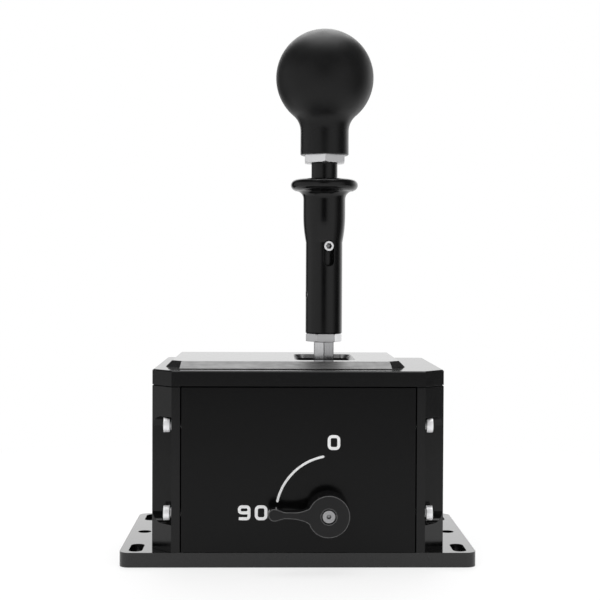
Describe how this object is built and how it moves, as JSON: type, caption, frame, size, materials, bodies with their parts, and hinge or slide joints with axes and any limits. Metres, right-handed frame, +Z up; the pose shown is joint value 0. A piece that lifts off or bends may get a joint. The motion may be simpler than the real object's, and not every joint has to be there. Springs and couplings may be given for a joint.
{
  "type": "sim racing gear shifter",
  "caption": "Desk-mounted gear shifter for driving games: sprung gear stick with round knob and lift collar, bolted box housing on a slotted base, side mode lever.",
  "frame": {"origin": "middle of the base plate's underside", "axes": "+Z up along the stick, +X to the right seen from the selector lever's side, +Y from that side to the rear"},
  "size_m": [0.1696, 0.1201, 0.2644],
  "materials": {
    "powder_coat": "fine textured black powder coat",
    "knob_plastic": "satin black",
    "collar_plastic": "satin black",
    "lever_plastic": "matte black",
    "blackened_steel": "black oxide",
    "zinc_steel": "bright zinc plate",
    "steel": "machined",
    "ball_steel": "polished",
    "spring_steel": "drawn wire",
    "machined_aluminium": "machined",
    "bronze": "turned",
    "acetal": "moulded",
    "board": "green solder mask",
    "magnet": "nickel plate",
    "socket_plastic": "moulded black"
  },
  "bodies": {
    "housing": {"base_plate": "powder_coat", "left_side_wall": "powder_coat", "right_side_wall": "powder_coat", "front_panel": "powder_coat", "rear_panel": "powder_coat", "lid": "powder_coat", "gate_cover": "powder_coat", "side_screws": "zinc_steel", "side_screw_washers": "zinc_steel", "tie_bolts": "blackened_steel", "cover_screws": "blackened_steel", "front_bearing_block": "machined_aluminium", "rear_bearing_block": "machined_aluminium", "base_screws": "blackened_steel", "bearing_outer_rings": "ball_steel", "bearing_balls": "ball_steel", "detent_plate": "steel", "reverse_stop": "steel", "slider_guides": "steel", "selector_bush": "bronze", "selector_detent_ball": "ball_steel", "selector_detent_spring": "spring_steel", "mode_sensor_board": "board", "main_board": "board", "data_socket": "socket_plastic", "panel_screws": "blackened_steel"},
    "cradle": {"cradle": "machined_aluminium", "bearing_inner_rings": "ball_steel", "cradle_bushes": "bronze", "centring_crank": "steel", "crank_screw": "blackened_steel", "roll_magnet": "magnet", "tilt_sensor_board": "board", "tilt_board_screws": "zinc_steel"},
    "stick": {"pivot_hub": "steel", "pivot_screws": "steel", "tilt_magnet": "magnet", "hex_rod": "steel", "lower_nut": "zinc_steel", "upper_shaft": "blackened_steel", "guide_screw": "zinc_steel", "spring_retainer": "steel", "retaining_ring": "spring_steel", "jam_nut": "zinc_steel", "knob": "knob_plastic", "knob_insert": "bronze", "detent_ball": "ball_steel", "detent_spring": "spring_steel"},
    "collar": {"collar": "collar_plastic", "lift_rod": "steel", "lift_pins": "steel", "lockout_ring": "steel", "lift_spring": "spring_steel"},
    "selector": {"selector_lever": "lever_plastic", "selector_screw": "steel", "selector_shaft": "steel", "mode_cam": "acetal", "mode_magnet": "magnet"},
    "slider": {"mode_slider": "acetal", "centring_springs": "spring_steel"}
  },
  "joints": [
    {"name": "stick_sideways", "type": "hinge", "parent": "housing", "child": "cradle", "pos_m": [0.0138, 0.006, 0.048], "axis": [0, 1, 0], "range_deg": [-7, 7], "stiffness_Nm_per_rad": 1.7},
    {"name": "stick_fore_aft", "type": "hinge", "parent": "cradle", "child": "stick", "pos_m": [0.0138, 0.006, 0.048], "axis": [1, 0, 0], "range_deg": [-14, 14]},
    {"name": "collar_lift", "type": "slide", "parent": "stick", "child": "collar", "axis": [0, 0, 1], "range_m": [0, 0.0075], "stiffness_N_per_m": 302, "springref_m": -0.01, "deforming": ["lift_spring"]},
    {"name": "selector_turn", "type": "hinge", "parent": "housing", "child": "selector", "pos_m": [0.0138, -0.05, 0.027], "axis": [0, 1, 0], "range_deg": [0, 90]},
    {"name": "slider_rise", "type": "slide", "parent": "housing", "child": "slider", "axis": [0, 0, 1], "range_m": [0, 0.005], "deforming": ["centring_springs"]}
  ],
  "couplings": [
    {"joint": "slider_rise", "follows": "selector_turn", "m_per_rad": 0.003183}
  ]
}
